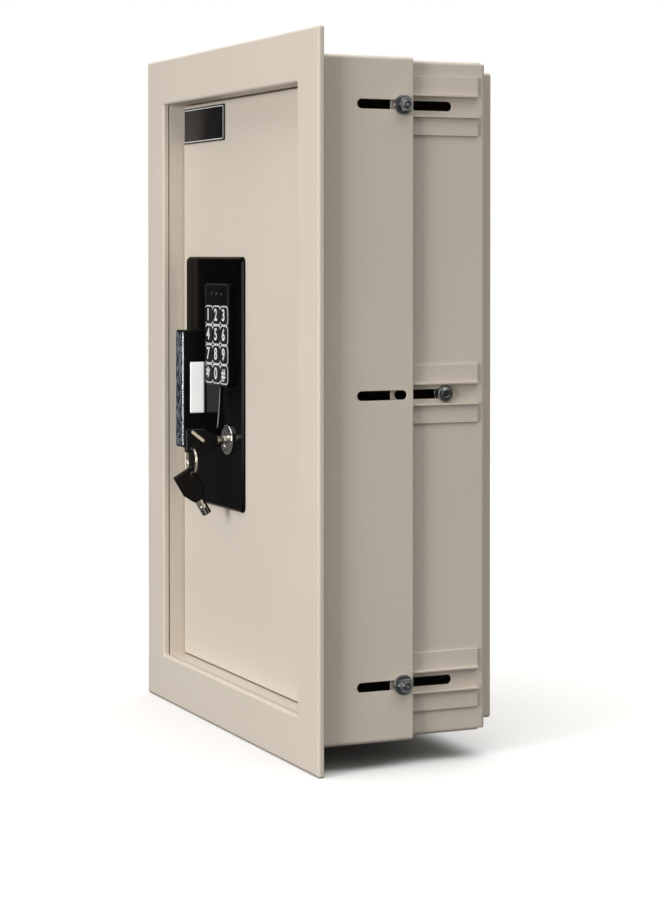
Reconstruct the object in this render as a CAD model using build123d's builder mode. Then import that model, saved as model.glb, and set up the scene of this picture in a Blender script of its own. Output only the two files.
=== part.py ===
from build123d import *
import os
from math import acos, cos, pi, radians, sin, sqrt, tan

# Telescoping in-wall safe. Millimetres.
# +X to the right seen from the front, +Y into the wall, +Z up. The origin is the middle
# of the trim flange, in the plane where the flange bears on the wall.

# ---- Trim flange: folded sheet frame that covers the edge of the wall opening ----
flange_width = 381.0
flange_height = 561.8
flange_depth = 4.5           # wall face to the front of the flange
flange_sheet = 1.5
flange_hem = 8.0             # lip that bears on the wall
flange_edge_radius = 2.0
flange_corner_radius = 1.2
opening_width = 299.0
opening_height = 483.0
opening_return = 5.0         # depth of the return round the opening

# ---- Front sleeve ----
sleeve_width = 362.0
sleeve_height = 522.0
sleeve_sheet = 1.5
sleeve_corner_radius = 3.0
front_sleeve_back = 78.5
slot_height = 7.4
slot_row_spacing = 221.0
slot_row_centre = 3.2        # middle row above the centre of the flange
front_slot_length = 42.0
front_slot_centre = 52.5

# ---- Rear sleeve, which telescopes in the front sleeve ----
case_depth = 152.4           # wall face to the back, drawn out to full depth
depth_travel = 50.8
side_gap = 4.5               # room for the guide rails, each side
top_gap = 0.4
rear_sleeve_front = 62.5
back_rise = 8.9              # back panel stands this far behind the rear sleeve's bend
rear_bend_radius = 3.0
rear_flange_width = 7.2      # seen round the back panel
rear_corner_notch = 6.0
rear_slot_length = 49.0
rear_slot_centre = 90.0
rail_height = 15.3
rail_channel = 14.6          # clear height between two rails
rail_lip = 4.0
rail_sheet = 1.5
rail_front = 64.0
rail_end_gap = 7.0
back_rim = 5.0               # rim of the back panel behind the sleeve's rear flange
back_sheet = 1.5
back_corner_radius = 2.5
panel_clearance = 0.3

# ---- Clamp bolts and flange nuts ----
bolt_diameter = 6.0
bolt_head_diameter = 13.0
bolt_head_height = 3.4
nut_flange_diameter = 15.5
nut_flange_thickness = 1.6
nut_across_flats = 10.0
nut_height = 5.4
stud_end = 1.2               # thread standing out of a nut
clamp_bolt_depth = 69.6
parked_bolt_depth = 108.0
slip_gap = 0.2               # between pieces that slide on each other

# ---- Door jamb, door and hinge ----
jamb_seam = 1.0              # gap between flange return and jamb
jamb_sheet = 1.5
door_gap = 1.2
door_depth = 14.7            # wall face to the front of the door
door_thickness = 6.35
stop_gap = 1.6
stop_width = 8.0
stop_end = 128.0             # the stop leaves the hinge corner free
hinge_inset = 5.3            # door edge to the hinge axis
hinge_pin_diameter = 4.5
hinge_pin_engagement = 9.0
hinge_pin_head = 2.0
hinge_pin_head_diameter = 8.0
washer_diameter = 6.2
washer_slack = 0.05
running_clearance = 0.05

# ---- Lock panel on the door ----
panel_width = 132.6
panel_height = 211.7
panel_x = -69.7
panel_z = 2.5
panel_thickness = 3.0
panel_corner_radius = 5.0
panel_bevel = 1.8
rib_width = 3.0
rib_height = 0.9
rib_top = (-51.5, -1.2)
rib_middle = (-53.5, -19.0)
rib_end = (-58.0, -36.5)

# ---- Keypad ----
keypad_width = 54.0
keypad_height = 85.8
keypad_x = -49.0
keypad_z = 43.15
keypad_depth = 5.0
keypad_wall = 1.5
keypad_corner_radius = 4.0
key_pitch_x = 17.6
key_pitch_z = 16.4
key_rows_z = 34.55           # middle of the four rows
key_width = 15.6
key_height = 14.2
key_corner_radius = 4.0
key_clearance = 0.25
key_rest_gap = 0.05          # between that flange and the housing
key_flange = 0.7             # flange that keeps a key in its hole
key_proud = 0.8
key_travel = 1.0
board_thickness = 1.2
led_diameter = 3.4
led_pitch = 11.0
led_below_top = 9.2
led_dome = 0.9

# ---- Pull handle ----
handle_width = 19.1
handle_height = 100.3
handle_depth = 19.4
handle_x = -98.75
handle_z = -4.5
handle_side_wall = 3.6
handle_front_wall = 4.4
handle_back_wall = 2.0
handle_end_wall = 7.0
handle_edge_radius = 1.6
insert_thickness = 0.8
insert_margin = 1.6

# ---- Badge plate ----
badge_width = 97.0
badge_height = 30.8
badge_x = -97.5
badge_z = 222.1
badge_thickness = 1.4

# ---- Key lock and keys ----
lock_x = -33.0
lock_z = -44.45
bezel_diameter = 25.0
bezel_height = 3.0
cylinder_diameter = 18.8
cylinder_back = 36.0
plug_diameter = 14.0
plug_recess = 0.6
keyhole_depth = 8.0
cam_length = 19.0
cam_width = 10.0
cam_thickness = 2.0
cylinder_nut_flats = 24.0
cylinder_nut_height = 5.0
barrel_diameter = 7.8
barrel_clearance = 0.1
barrel_length = 14.0         # out of the head
head_width = 19.0
head_straight = 18.2
head_taper = 9.6
head_neck = 9.0
head_thickness = 5.0
head_chamfer = 0.9
head_start = 0.5             # neck end of the inserted key's head, behind the wall face
ring_hole_diameter = 4.4
ring_hole_back = 5.8         # from the square end of the head
ring_hole_side = 5.8         # from the key's axis
spine_length = 14.0
spine_width = 2.6
spine_proud = 0.35
spine_tilt = 38.0
spine_place = (-3.9, -8.1)   # across and along the head
barrel_bore_diameter = 5.0
barrel_bore_depth = 7.0
ring_mean_radius = 10.7
ring_wire = 1.9
spare_tilt = 31.0            # the spare key hangs with its weight below the ring

# ---- Locking bolts and their drive ----
bolt_throw = 14.0
lock_bolt_diameter = 19.0
lock_bolt_spacing = 220.0
lock_bolt_tip = -137.0       # at rest, drawn back
lock_bolt_shank = 28.0       # length of each bolt besides its throw
lock_bolt_chamfer = 1.5
lock_bolt_gap = 0.5          # behind the door stop
bolt_stud_diameter = 8.0
bar_thickness = 5.0
bar_end = 15.0
bolt_nut_flats = 13.0
bolt_nut_height = 6.0
guide_width = 30.0
guide_front_x = -134.0
guide_length = 20.0
gear_module = 1.0
pinion_teeth = 14
pressure_angle = 20.0
tooth_share = 0.44           # of the pitch, which leaves the backlash
addendum = 0.75
dedendum = 1.15
gear_width = 7.0
gear_front = 28.5
pinion_x = -62.0
pinion_z = 20.0
pinion_shaft_diameter = 4.0
rack_height = 6.0
rack_length = 52.0
gearbox_width = 24.0
gearbox_height = 30.0
gearbox_front = 36.5
gearbox_thickness = 7.8
shaft_engagement = 4.0
motor_diameter = 15.0
motor_length = 32.0
post_diameter = 6.0
motor_post_spacing = 17.0

# ---- Electronics and inner cover ----
circuit_width = 60.0
circuit_height = 66.0
circuit_x = -22.0
circuit_z = 78.0
circuit_front = 27.0
circuit_thickness = 1.6
post_spacing = 30.0
chip_sizes = ((22.0, 14.0, 3.0), (12.0, 18.0, 5.0), (16.0, 8.0, 7.0))
chip_places = ((-14.0, 14.0), (16.0, -8.0), (-10.0, -20.0))
battery_diameter = 14.2
battery_length = 49.5
battery_pitch = 15.2
battery_count = 4
battery_x = 4.0
battery_z = -98.0
battery_depth = 35.5
battery_nub_diameter = 5.2
battery_nub = 1.2
holder_wall = 1.6
holder_front = 25.0
cover_left = -112.0
cover_right = 46.0
cover_half_height = 135.0
cover_gap = 1.15             # behind the bolt bar
cover_sheet = 1.2
cover_lip = 9.0
battery_door_thickness = 1.4
battery_door_lap = 4.0
screw_diameter = 4.0
screw_head_diameter = 7.5
screw_head_height = 2.2

ribbon_width = 12.0
ribbon_thickness = 0.6
ribbon_depth = 23.4
ribbon_end_z = 96.0

# ---- Shelves ----
shelf_sheet = 1.2
shelf_clearance = 7.9        # behind the door's cover with the case slid in
shelf_lip = 9.0
shelf_side_gap = 0.8
shelf_spacing = 165.0
bracket_leg = 14.0
bracket_sheet = 1.5

# ---- Sizes that follow ----
flange_front = -flange_depth
return_back = flange_front + opening_return
jamb_front = return_back + jamb_seam
door_back = door_depth + door_thickness
stop_front = door_back + stop_gap
jamb_back = stop_front + jamb_sheet
door_width = opening_width - 2 * door_gap
door_height = opening_height - 2 * door_gap
hinge_x = door_width / 2 - hinge_inset
hinge_y = door_depth + door_thickness / 2
sleeve_inner_width = sleeve_width - 2 * sleeve_sheet
sleeve_inner_height = sleeve_height - 2 * sleeve_sheet
rear_width = sleeve_inner_width - 2 * side_gap
rear_height = sleeve_inner_height - 2 * top_gap
rear_inner_width = rear_width - 2 * sleeve_sheet
rear_sleeve_back = case_depth - back_rise
rail_back = rear_sleeve_back - rail_end_gap
slot_rows = [slot_row_centre + step * slot_row_spacing for step in (-1, 0, 1)]
clamp_rows = [slot_rows[0], slot_rows[2]]
panel_front = door_depth - panel_thickness
keypad_front = panel_front - keypad_depth
key_columns = [keypad_x + step * key_pitch_x for step in (-1, 0, 1)]
key_rows = [key_rows_z + step * key_pitch_z for step in (1.5, 0.5, -0.5, -1.5)]
bolt_axis_y = jamb_back + lock_bolt_gap + lock_bolt_diameter / 2
lock_bolt_length = lock_bolt_shank + bolt_throw
bar_x = lock_bolt_tip + lock_bolt_length
cover_back = bolt_axis_y + lock_bolt_diameter / 2 + cover_gap + cover_sheet
pitch_radius = gear_module * pinion_teeth / 2
rack_pitch_z = pinion_z - pitch_radius
lock_bolts_z = [-lock_bolt_spacing / 2, lock_bolt_spacing / 2]
shelf_heights = [-shelf_spacing / 2, shelf_spacing / 2]
back_plate_front = case_depth - back_sheet
shelf_front = cover_back + depth_travel + shelf_clearance
shelf_depth = back_plate_front - slip_gap - shelf_front


def facing_front(depth):
    """Plane across the safe at this depth, its normal towards the front."""
    return Plane.XZ.offset(-depth)


def frame_profile(depth, width, height, inner_width, inner_height, corner, inner_corner):
    """Rectangular ring across the safe."""
    with BuildSketch(facing_front(depth)) as ring:
        RectangleRounded(width, height, corner)
        RectangleRounded(inner_width, inner_height, inner_corner, mode=Mode.SUBTRACT)
    return ring.sketch


def rounded_profile(depth, width, height, corner, centre=(0, 0)):
    """Rounded rectangle across the safe."""
    with BuildSketch(facing_front(depth)) as shape:
        with Locations(centre):
            RectangleRounded(width, height, corner)
    return shape.sketch


def disc_profile(plane, diameter, places):
    """Discs on a plane."""
    with BuildSketch(plane) as discs:
        with Locations(*places):
            Circle(diameter / 2)
    return discs.sketch


def hexagon_profile(plane, across_flats, places):
    """Hexagons on a plane."""
    with BuildSketch(plane) as shape:
        with Locations(*places):
            RegularPolygon(across_flats / 2, 6, major_radius=False)
    return shape.sketch


def side_plane(side, distance):
    """Plane facing out of one side of the safe, at a distance from its middle."""
    return Plane(origin=(side * distance, 0, 0), x_dir=(0, 1, 0), z_dir=(side, 0, 0))


def side_places(side, depth, rows):
    """Places on a side plane, where the left-hand side has its rows turned over."""
    return [(depth, side * row) for row in rows]


os.makedirs("parts", exist_ok=True)


# ================= Fixed case =================
with BuildPart() as front_flange:
    extrude(frame_profile(flange_front, flange_width, flange_height, opening_width,
                          opening_height, flange_corner_radius, flange_corner_radius),
            amount=-flange_sheet)
    extrude(frame_profile(flange_front, flange_width, flange_height,
                          flange_width - 2 * flange_sheet, flange_height - 2 * flange_sheet,
                          flange_corner_radius, flange_corner_radius),
            amount=-flange_depth)
    extrude(frame_profile(-flange_sheet, flange_width, flange_height,
                          flange_width - 2 * flange_hem, flange_height - 2 * flange_hem,
                          flange_corner_radius, flange_corner_radius),
            amount=-flange_sheet)
    extrude(frame_profile(flange_front, opening_width + 2 * flange_sheet,
                          opening_height + 2 * flange_sheet, opening_width, opening_height,
                          flange_corner_radius, flange_corner_radius),
            amount=-opening_return)
    fillet(front_flange.faces().sort_by(Axis.Y)[0].edges(), radius=flange_edge_radius)
front_flange.part.label = "front_flange"
export_step(front_flange.part, "parts/front_flange.step")

sleeve_front = flange_front + flange_sheet
with BuildPart() as front_sleeve:
    extrude(frame_profile(sleeve_front, sleeve_width, sleeve_height, sleeve_inner_width,
                          sleeve_inner_height, sleeve_corner_radius,
                          sleeve_corner_radius - sleeve_sheet),
            amount=sleeve_front - front_sleeve_back)
    for side in (-1, 1):
        with BuildSketch(side_plane(side, sleeve_width / 2)):
            with Locations(*side_places(side, front_slot_centre, slot_rows)):
                SlotOverall(front_slot_length, slot_height)
        extrude(amount=-2 * sleeve_sheet, mode=Mode.SUBTRACT)
front_sleeve.part.label = "front_sleeve"
export_step(front_sleeve.part, "parts/front_sleeve.step")

jamb_width = opening_width + 2 * jamb_sheet
jamb_height = opening_height + 2 * jamb_sheet
with BuildPart() as door_jamb:
    extrude(frame_profile(jamb_front, jamb_width, jamb_height, opening_width, opening_height,
                          flange_corner_radius, flange_corner_radius),
            amount=jamb_front - jamb_back)
    extrude(frame_profile(jamb_front, sleeve_inner_width, sleeve_inner_height,
                          opening_width, opening_height,
                          sleeve_corner_radius, flange_corner_radius),
            amount=-jamb_sheet)
    extrude(frame_profile(stop_front, jamb_width, jamb_height,
                          opening_width - 2 * stop_width, opening_height - 2 * stop_width,
                          flange_corner_radius, flange_corner_radius),
            amount=-jamb_sheet)
    # The hinge edge of the door swings inwards, so the stop ends short of it.
    with BuildSketch(facing_front(stop_front)):
        with Locations((opening_width / 2, 0)):
            Rectangle(opening_width - 2 * stop_end, opening_height)
    extrude(amount=-jamb_sheet, mode=Mode.SUBTRACT)
    hinge_holes = disc_profile(Plane.XY.offset(-jamb_height), hinge_pin_diameter,
                               [(hinge_x, hinge_y)])
    extrude(hinge_holes, amount=2 * jamb_height, mode=Mode.SUBTRACT)
door_jamb.part.label = "door_jamb"
export_step(door_jamb.part, "parts/door_jamb.step")

pin_top = jamb_height / 2
with BuildPart() as hinge_pins:
    shank = disc_profile(Plane.XY.offset(door_height / 2 - hinge_pin_engagement),
                         hinge_pin_diameter, [(hinge_x, hinge_y)])
    extrude(shank, amount=pin_top - door_height / 2 + hinge_pin_engagement)
    pin_head = disc_profile(Plane.XY.offset(pin_top), hinge_pin_head_diameter,
                            [(hinge_x, hinge_y)])
    extrude(pin_head, amount=hinge_pin_head)
    mirror(about=Plane.XY)
hinge_pins.part.label = "hinge_pins"
export_step(hinge_pins.part, "parts/hinge_pins.step")

with BuildPart() as hinge_washers:
    with BuildSketch(Plane.XY.offset(door_height / 2 + washer_slack)):
        with Locations((hinge_x, hinge_y)):
            Circle(washer_diameter / 2)
            Circle(hinge_pin_diameter / 2, mode=Mode.SUBTRACT)
    extrude(amount=door_gap - washer_slack)
    mirror(about=Plane.XY)
hinge_washers.part.label = "hinge_washers"
export_step(hinge_washers.part, "parts/hinge_washers.step")

# ================= Clamp bolts, through both sleeves =================
rear_inner_side = rear_inner_width / 2
clamp_head_face = rear_inner_side - slip_gap
nut_face = sleeve_width / 2 + slip_gap
nut_total = nut_flange_thickness + nut_height
with BuildPart() as clamp_bolts:
    for side in (-1, 1):
        places = side_places(side, clamp_bolt_depth, clamp_rows)
        extrude(disc_profile(side_plane(side, clamp_head_face - bolt_head_height),
                             bolt_head_diameter, places), amount=bolt_head_height)
        extrude(disc_profile(side_plane(side, clamp_head_face), bolt_diameter, places),
                amount=nut_face + nut_total + stud_end - clamp_head_face)
clamp_bolts.part.label = "clamp_bolts"
export_step(clamp_bolts.part, "parts/clamp_bolts.step")

with BuildPart() as clamp_nuts:
    for side in (-1, 1):
        places = side_places(side, clamp_bolt_depth, clamp_rows)
        extrude(disc_profile(side_plane(side, nut_face), nut_flange_diameter, places),
                amount=nut_flange_thickness)
        extrude(hexagon_profile(side_plane(side, nut_face + nut_flange_thickness),
                                nut_across_flats, places), amount=nut_height)
        extrude(disc_profile(side_plane(side, nut_face), bolt_diameter, places),
                amount=nut_total, mode=Mode.SUBTRACT)
clamp_nuts.part.label = "clamp_nuts"
export_step(clamp_nuts.part, "parts/clamp_nuts.step")

# ================= Rear sleeve =================
rear_length = rear_sleeve_back - rear_sleeve_front
panel_width_back = rear_width - 2 * rear_flange_width
panel_height_back = rear_height - 2 * rear_flange_width
with BuildPart() as rear_sleeve:
    extrude(rounded_profile(rear_sleeve_front, rear_width, rear_height, sleeve_corner_radius),
            amount=-rear_length)
    fillet(rear_sleeve.faces().sort_by(Axis.Y)[-1].edges(), radius=rear_bend_radius)
    offset(amount=-sleeve_sheet, openings=rear_sleeve.faces().sort_by(Axis.Y)[0])
    extrude(rounded_profile(rear_sleeve_back - 2 * sleeve_sheet,
                            panel_width_back + 2 * panel_clearance,
                            panel_height_back + 2 * panel_clearance,
                            back_corner_radius + panel_clearance),
            amount=-3 * sleeve_sheet, mode=Mode.SUBTRACT)
    # The bends of the rear flange stop short of the corners.
    with BuildSketch(facing_front(rear_sleeve_back - rear_corner_notch)):
        with Locations(*[(x * rear_width / 2, z * rear_height / 2)
                         for x in (-1, 1) for z in (-1, 1)]):
            Rectangle(2 * rear_corner_notch, 2 * sleeve_sheet)
    extrude(amount=-2 * rear_corner_notch, mode=Mode.SUBTRACT)
    for side in (-1, 1):
        with BuildSketch(side_plane(side, rear_width / 2)):
            with Locations(*side_places(side, rear_slot_centre, slot_rows)):
                SlotOverall(rear_slot_length, slot_height)
        extrude(amount=-2 * sleeve_sheet, mode=Mode.SUBTRACT)
rear_sleeve.part.label = "rear_sleeve"
export_step(rear_sleeve.part, "parts/rear_sleeve.step")

with BuildPart() as guide_rails:
    with BuildSketch(facing_front(rail_front)):
        for side in (-1, 1):
            for row in slot_rows:
                for edge in (-1, 1):
                    inner_edge = row + edge * rail_channel / 2
                    with Locations((side * (rear_width + rail_sheet) / 2,
                                    inner_edge + edge * rail_height / 2)):
                        Rectangle(rail_sheet, rail_height)
                    with Locations((side * (rear_width + rail_lip) / 2,
                                    inner_edge + edge * rail_sheet / 2)):
                        Rectangle(rail_lip, rail_sheet)
    extrude(amount=rail_front - rail_back)
guide_rails.part.label = "guide_rails"
export_step(guide_rails.part, "parts/guide_rails.step")

rim_front = rear_sleeve_back - sleeve_sheet - back_sheet
with BuildPart() as back_panel:
    extrude(rounded_profile(rim_front, panel_width_back, panel_height_back,
                            back_corner_radius), amount=rim_front - case_depth)
    fillet(back_panel.faces().sort_by(Axis.Y)[-1].edges(), radius=back_sheet)
    extrude(frame_profile(rim_front, panel_width_back + back_rim,
                          panel_height_back + back_rim,
                          panel_width_back - 4 * back_sheet,
                          panel_height_back - 4 * back_sheet,
                          back_corner_radius, back_corner_radius), amount=-back_sheet)
    extrude(rounded_profile(rim_front, panel_width_back - 2 * back_sheet,
                            panel_height_back - 2 * back_sheet,
                            back_corner_radius - back_sheet),
            amount=rim_front - back_plate_front, mode=Mode.SUBTRACT)
back_panel.part.label = "back_panel"
export_step(back_panel.part, "parts/back_panel.step")

parked_rows = [slot_rows[1]]
parked_face = rear_width / 2
with BuildPart() as parked_bolts:
    for side in (-1, 1):
        places = side_places(side, parked_bolt_depth, parked_rows)
        extrude(disc_profile(side_plane(side, parked_face), bolt_head_diameter, places),
                amount=bolt_head_height)
        extrude(disc_profile(side_plane(side, parked_face), bolt_diameter, places),
                amount=-sleeve_sheet - nut_total - stud_end)
    fillet(parked_bolts.edges().filter_by(GeomType.CIRCLE).group_by(SortBy.RADIUS)[-1]
           .filter_by(lambda edge: abs(edge.center().X) > parked_face + bolt_head_height / 2),
           radius=bolt_head_height * 0.8)
parked_bolts.part.label = "parked_bolts"
export_step(parked_bolts.part, "parts/parked_bolts.step")

with BuildPart() as parked_nuts:
    for side in (-1, 1):
        places = side_places(side, parked_bolt_depth, parked_rows)
        extrude(disc_profile(side_plane(side, rear_inner_side), nut_flange_diameter, places),
                amount=-nut_flange_thickness)
        extrude(hexagon_profile(side_plane(side, rear_inner_side - nut_flange_thickness),
                                nut_across_flats, places), amount=-nut_height)
        extrude(disc_profile(side_plane(side, rear_inner_side), bolt_diameter, places),
                amount=-nut_total, mode=Mode.SUBTRACT)
parked_nuts.part.label = "parked_nuts"
export_step(parked_nuts.part, "parts/parked_nuts.step")

# Two shelves, each a folded tray hung on a pair of side brackets.
shelf_width = panel_width_back - 2 * back_sheet - 2 * shelf_side_gap
for name, height in zip(("lower", "upper"), shelf_heights):
    with BuildPart() as shelf:
        with BuildSketch(Plane.XY.offset(height)):
            with Locations((0, shelf_front + shelf_depth / 2)):
                Rectangle(shelf_width, shelf_depth)
        extrude(amount=shelf_sheet)
        with BuildSketch(Plane.XY.offset(height)):
            with Locations((0, shelf_front + shelf_sheet / 2)):
                Rectangle(shelf_width, shelf_sheet)
        extrude(amount=shelf_lip)
        fillet(shelf.edges().filter_by(Axis.Z).sort_by(Axis.Y)[:2], radius=shelf_sheet / 2)
    shelf.part.label = f"{name}_shelf"
    export_step(shelf.part, f"parts/{name}_shelf.step")

bracket_back = rim_front - slip_gap
with BuildPart() as shelf_brackets:
    for side in (-1, 1):
        for height in shelf_heights:
            with BuildSketch(facing_front(shelf_front + bracket_sheet)):
                with Locations((side * (rear_inner_side - bracket_sheet / 2),
                                height - bracket_leg / 2)):
                    Rectangle(bracket_sheet, bracket_leg)
                with Locations((side * (rear_inner_side - bracket_leg / 2),
                                height - bracket_sheet / 2)):
                    Rectangle(bracket_leg, bracket_sheet)
            extrude(amount=shelf_front + bracket_sheet - bracket_back)
shelf_brackets.part.label = "shelf_brackets"
export_step(shelf_brackets.part, "parts/shelf_brackets.step")

# ================= Door =================
with BuildPart() as door_panel:
    extrude(rounded_profile(door_depth, door_width, door_height, flange_corner_radius),
            amount=-door_thickness)
    chamfer(door_panel.faces().sort_by(Axis.Y)[0].edges(), length=0.6)
    bore = disc_profile(facing_front(door_depth), cylinder_diameter, [(lock_x, lock_z)])
    extrude(bore, amount=-door_thickness, mode=Mode.SUBTRACT)
    extrude(rounded_profile(door_depth, keypad_width - 2 * led_below_top, 2 * led_below_top,
                            key_corner_radius, (keypad_x, keypad_z)),
            amount=-door_thickness, mode=Mode.SUBTRACT)
    hinge_bore = disc_profile(Plane.XY.offset(door_height / 2),
                              hinge_pin_diameter + 2 * running_clearance,
                              [(hinge_x, hinge_y)])
    extrude(hinge_bore, amount=-hinge_pin_engagement - slip_gap, mode=Mode.SUBTRACT)
    lower_hinge_bore = disc_profile(Plane.XY.offset(-door_height / 2),
                                    hinge_pin_diameter + 2 * running_clearance,
                                    [(hinge_x, hinge_y)])
    extrude(lower_hinge_bore, amount=hinge_pin_engagement + slip_gap, mode=Mode.SUBTRACT)
door_panel.part.label = "door_panel"
export_step(door_panel.part, "parts/door_panel.step")

with BuildPart() as lock_panel:
    extrude(rounded_profile(panel_front, panel_width, panel_height, panel_corner_radius,
                            (panel_x, panel_z)), amount=-panel_thickness)
    chamfer(lock_panel.faces().sort_by(Axis.Y)[0].edges(), length=panel_bevel)
    # A shallow curved ridge runs down from the keypad towards the key lock.
    with BuildSketch(facing_front(panel_front)):
        with BuildLine():
            ridge = ThreePointArc(rib_top, rib_middle, rib_end)
        trace(lines=ridge, line_width=rib_width)
    extrude(amount=rib_height)
    extrude(rounded_profile(panel_front, keypad_width - 2 * led_below_top,
                            2 * led_below_top, key_corner_radius, (keypad_x, keypad_z)),
            amount=-panel_thickness, mode=Mode.SUBTRACT)
    bore = disc_profile(facing_front(panel_front), cylinder_diameter, [(lock_x, lock_z)])
    extrude(bore, amount=-panel_thickness, mode=Mode.SUBTRACT)
lock_panel.part.label = "lock_panel"
export_step(lock_panel.part, "parts/lock_panel.step")

led_z = keypad_z + keypad_height / 2 - led_below_top
led_places = [(keypad_x + step * led_pitch, led_z) for step in (-1, 0, 1)]
key_places = [(x, z) for z in key_rows for x in key_columns]
pocket_front = keypad_front + keypad_wall
with BuildPart() as keypad_housing:
    extrude(rounded_profile(keypad_front, keypad_width, keypad_height,
                            keypad_corner_radius, (keypad_x, keypad_z)),
            amount=-keypad_depth)
    fillet(keypad_housing.faces().sort_by(Axis.Y)[0].edges(), radius=keypad_wall / 2)
    extrude(rounded_profile(pocket_front, keypad_width - keypad_wall,
                            keypad_height - 2 * keypad_wall,
                            keypad_corner_radius - keypad_wall, (keypad_x, keypad_z)),
            amount=-keypad_depth, mode=Mode.SUBTRACT)
    with BuildSketch(facing_front(keypad_front)):
        with Locations(*key_places):
            RectangleRounded(key_width + 2 * key_clearance, key_height + 2 * key_clearance,
                             key_corner_radius)
        with Locations(*led_places):
            Circle(led_diameter / 2)
    extrude(amount=-keypad_wall, mode=Mode.SUBTRACT)
keypad_housing.part.label = "keypad_housing"
export_step(keypad_housing.part, "parts/keypad_housing.step")

board_front = panel_front - board_thickness
with BuildPart() as keypad_board:
    extrude(rounded_profile(board_front, keypad_width - 2 * keypad_wall,
                            keypad_height - 3 * keypad_wall, 1.0, (keypad_x, keypad_z)),
            amount=-board_thickness)
keypad_board.part.label = "keypad_board"
export_step(keypad_board.part, "parts/keypad_board.step")

with BuildPart() as status_leds:
    extrude(disc_profile(facing_front(keypad_front - led_dome), led_diameter, led_places),
            amount=keypad_front - led_dome - board_front)
    fillet(status_leds.faces().filter_by(Axis.Y).group_by(Axis.Y)[0].edges(),
           radius=led_dome * 0.9)
status_leds.part.label = "status_leds"
export_step(status_leds.part, "parts/status_leds.step")

key_front = keypad_front - key_proud
key_flange_front = pocket_front + key_rest_gap
key_names = ["key_1", "key_2", "key_3", "key_4", "key_5", "key_6",
             "key_7", "key_8", "key_9", "key_star", "key_0", "key_hash"]
for name, place in zip(key_names, key_places):
    with BuildPart() as key:
        extrude(rounded_profile(key_front, key_width, key_height, key_corner_radius, place),
                amount=key_front - key_flange_front)
        fillet(key.faces().sort_by(Axis.Y)[0].edges(), radius=0.5)
        extrude(rounded_profile(key_flange_front, key_width + 2 * key_flange,
                                key_height + 2 * key_flange, key_corner_radius, place),
                amount=key_flange_front - board_front + key_travel + slip_gap)
    key.part.label = name
    export_step(key.part, f"parts/{name}.step")

handle_front = panel_front - handle_depth
handle_pocket_width = handle_width - handle_side_wall
handle_pocket_depth = handle_depth - handle_front_wall - handle_back_wall
handle_pocket_height = handle_height - 2 * handle_end_wall
with BuildPart() as pull_handle:
    extrude(rounded_profile(handle_front, handle_width, handle_height, handle_edge_radius,
                            (handle_x, handle_z)), amount=-handle_depth)
    fillet(pull_handle.faces().sort_by(Axis.Y)[0].edges(), radius=handle_edge_radius * 0.6)
    # Finger pocket, open on the side away from the keypad.
    with BuildSketch(Plane.YZ.offset(handle_x - handle_width / 2)):
        with Locations((handle_front + handle_front_wall + handle_pocket_depth / 2,
                        handle_z)):
            RectangleRounded(handle_pocket_depth, handle_pocket_height, 4.0)
    extrude(amount=handle_pocket_width, mode=Mode.SUBTRACT)
pull_handle.part.label = "pull_handle"
export_step(pull_handle.part, "parts/pull_handle.step")

with BuildPart() as handle_insert:
    extrude(rounded_profile(handle_front - insert_thickness, handle_width - 2 * insert_margin,
                            handle_height - 2 * insert_margin, 1.0, (handle_x, handle_z)),
            amount=-insert_thickness)
    fillet(handle_insert.faces().sort_by(Axis.Y)[0].edges(), radius=insert_thickness / 2)
handle_insert.part.label = "handle_insert"
export_step(handle_insert.part, "parts/handle_insert.step")

with BuildPart() as badge_plate:
    extrude(rounded_profile(door_depth - badge_thickness, badge_width, badge_height, 2.0,
                            (badge_x, badge_z)), amount=-badge_thickness)
    fillet(badge_plate.faces().sort_by(Axis.Y)[0].edges(), radius=badge_thickness / 3)
badge_plate.part.label = "badge_plate"
export_step(badge_plate.part, "parts/badge_plate.step")

# ================= Key lock =================
lock_place = [(lock_x, lock_z)]
plug_bore = plug_diameter + 2 * running_clearance
bezel_front = panel_front - bezel_height
with BuildPart() as lock_cylinder:
    extrude(disc_profile(facing_front(bezel_front), bezel_diameter, lock_place),
            amount=-bezel_height)
    fillet(lock_cylinder.faces().sort_by(Axis.Y)[0].edges(), radius=bezel_height / 2)
    extrude(disc_profile(facing_front(panel_front), cylinder_diameter, lock_place),
            amount=panel_front - cylinder_back)
    extrude(disc_profile(facing_front(bezel_front), plug_bore, lock_place),
            amount=bezel_front - cylinder_back, mode=Mode.SUBTRACT)
lock_cylinder.part.label = "lock_cylinder"
export_step(lock_cylinder.part, "parts/lock_cylinder.step")

with BuildPart() as cylinder_nut:
    extrude(hexagon_profile(facing_front(door_back), cylinder_nut_flats, lock_place),
            amount=-cylinder_nut_height)
    extrude(disc_profile(facing_front(door_back), cylinder_diameter, lock_place),
            amount=-cylinder_nut_height, mode=Mode.SUBTRACT)
cylinder_nut.part.label = "cylinder_nut"
export_step(cylinder_nut.part, "parts/cylinder_nut.step")

plug_front = bezel_front + plug_recess
cam_front = cylinder_back + slip_gap
keyhole_diameter = barrel_diameter + 2 * barrel_clearance
with BuildPart() as lock_plug:
    extrude(disc_profile(facing_front(plug_front), plug_diameter, lock_place),
            amount=plug_front - cam_front)
    extrude(disc_profile(facing_front(plug_front), keyhole_diameter, lock_place),
            amount=-keyhole_depth, mode=Mode.SUBTRACT)
lock_plug.part.label = "lock_plug"
export_step(lock_plug.part, "parts/lock_plug.step")

with BuildPart() as lock_cam:
    with BuildSketch(facing_front(cam_front)):
        with Locations((lock_x, lock_z - cam_length / 2)):
            SlotCenterToCenter(cam_length, cam_width, rotation=90)
        with Locations(*lock_place):
            Circle(plug_diameter / 2 + 1.5)
    extrude(amount=-cam_thickness)
lock_cam.part.label = "lock_cam"
export_step(lock_cam.part, "parts/lock_cam.step")


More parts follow.
